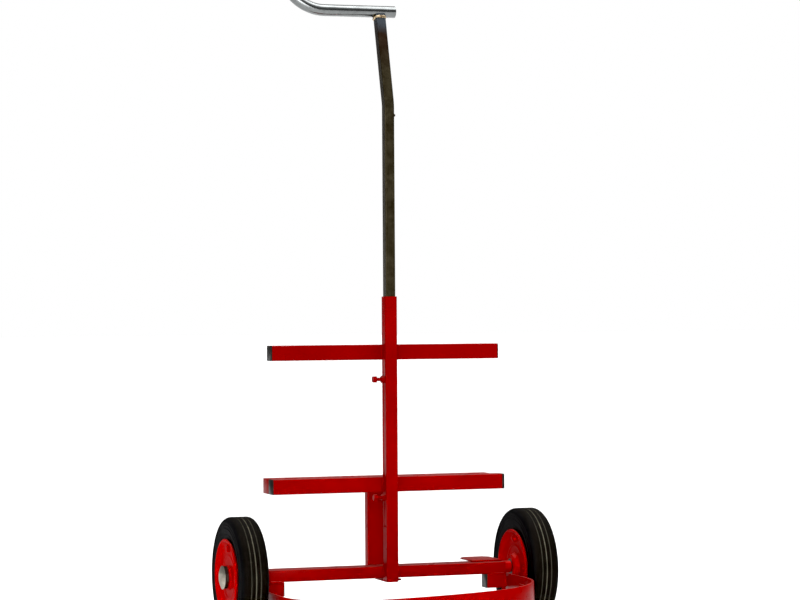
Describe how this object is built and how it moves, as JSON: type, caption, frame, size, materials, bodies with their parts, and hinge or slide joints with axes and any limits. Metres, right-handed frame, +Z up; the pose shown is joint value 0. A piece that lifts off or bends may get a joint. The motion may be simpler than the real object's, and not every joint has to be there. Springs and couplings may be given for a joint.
{
  "type": "fire extinguisher trolley",
  "caption": "Wheeled trolley for portable fire extinguishers: hoop and tray base, square mast with crossbars, solid-tyred wheels and a telescopic handle.",
  "frame": {"origin": "on the floor, below the middle of the whole trolley", "axes": "+X to the right along the wheel axle, +Y to the back, +Z up"},
  "size_m": [0.728, 0.4499, 1.4903],
  "materials": {
    "red_paint": "gloss",
    "rim_paint": "gloss",
    "tyre_rubber": "matt",
    "zinc_steel": "zinc plated, satin",
    "axle_steel": "bare, turned",
    "bare_steel": "bare, dull",
    "handle_steel": "bright zinc",
    "dark_steel": "black oxide",
    "braze": "rough bead",
    "black_plastic": "moulded",
    "foot_rubber": "matt"
  },
  "bodies": {
    "frame": {"axle_beam": "red_paint", "axle_shaft": "axle_steel", "axle_spacer_left": "rim_paint", "axle_spacer_right": "rim_paint", "axle_washer_left": "zinc_steel", "axle_washer_right": "zinc_steel", "base_hoop": "red_paint", "base_tray": "red_paint", "cotter_pin_left": "zinc_steel", "cotter_pin_right": "zinc_steel", "foot_pedal": "red_paint", "foot_screws": "dark_steel", "hoop_stub_left": "red_paint", "hoop_stub_right": "red_paint", "lower_bar_cap_left": "black_plastic", "lower_bar_cap_right": "black_plastic", "lower_clamp_nut": "red_paint", "lower_crossbar_front": "red_paint", "lower_crossbar_rear": "red_paint", "mast_foot_plate": "red_paint", "mast_outer_tube": "red_paint", "mast_rivet": "dark_steel", "rear_upright": "red_paint", "stub_cap_left": "black_plastic", "stub_cap_right": "black_plastic", "tray_feet": "foot_rubber", "tray_hanger_front": "red_paint", "tray_hanger_left": "red_paint", "tray_hanger_right": "red_paint", "upper_bar_cap_left": "black_plastic", "upper_bar_cap_right": "black_plastic", "upper_clamp_nut": "red_paint", "upper_crossbar": "red_paint"},
    "handle": {"inner_tube": "bare_steel", "stop_pin": "dark_steel", "handle_tube": "handle_steel", "handle_weld": "braze"},
    "upper_clamp": {"upper_clamp_bolt": "red_paint"},
    "lower_clamp": {"lower_clamp_bolt": "red_paint"},
    "left_wheel": {"left_hub_barrel": "rim_paint", "left_hub_cap": "zinc_steel", "left_inner_bush": "black_plastic", "left_outer_bush": "black_plastic", "left_rim_barrel": "rim_paint", "left_rim_bolts": "rim_paint", "left_rim_inner_disc": "rim_paint", "left_rim_outer_disc": "rim_paint", "left_tyre": "tyre_rubber"},
    "right_wheel": {"right_hub_barrel": "rim_paint", "right_hub_cap": "zinc_steel", "right_inner_bush": "black_plastic", "right_outer_bush": "black_plastic", "right_rim_barrel": "rim_paint", "right_rim_bolts": "rim_paint", "right_rim_inner_disc": "rim_paint", "right_rim_outer_disc": "rim_paint", "right_tyre": "tyre_rubber"}
  },
  "joints": [
    {"name": "handle_slide", "type": "slide", "parent": "frame", "child": "handle", "axis": [0, 0, 1], "range_m": [-0.379, 0]},
    {"name": "upper_clamp_turn", "type": "hinge", "parent": "frame", "child": "upper_clamp", "pos_m": [-0.03, 0.063, 0.533], "axis": [1, 0, 0], "range_deg": [0, 360]},
    {"name": "lower_clamp_turn", "type": "hinge", "parent": "frame", "child": "lower_clamp", "pos_m": [-0.03, 0.063, 0.284], "axis": [1, 0, 0], "range_deg": [0, 360]},
    {"name": "left_wheel_spin", "type": "hinge", "parent": "frame", "child": "left_wheel", "pos_m": [-0.32, 0.1, 0.125], "axis": [1, 0, 0], "continuous": true},
    {"name": "right_wheel_spin", "type": "hinge", "parent": "frame", "child": "right_wheel", "pos_m": [0.32, 0.1, 0.125], "axis": [1, 0, 0], "continuous": true}
  ]
}
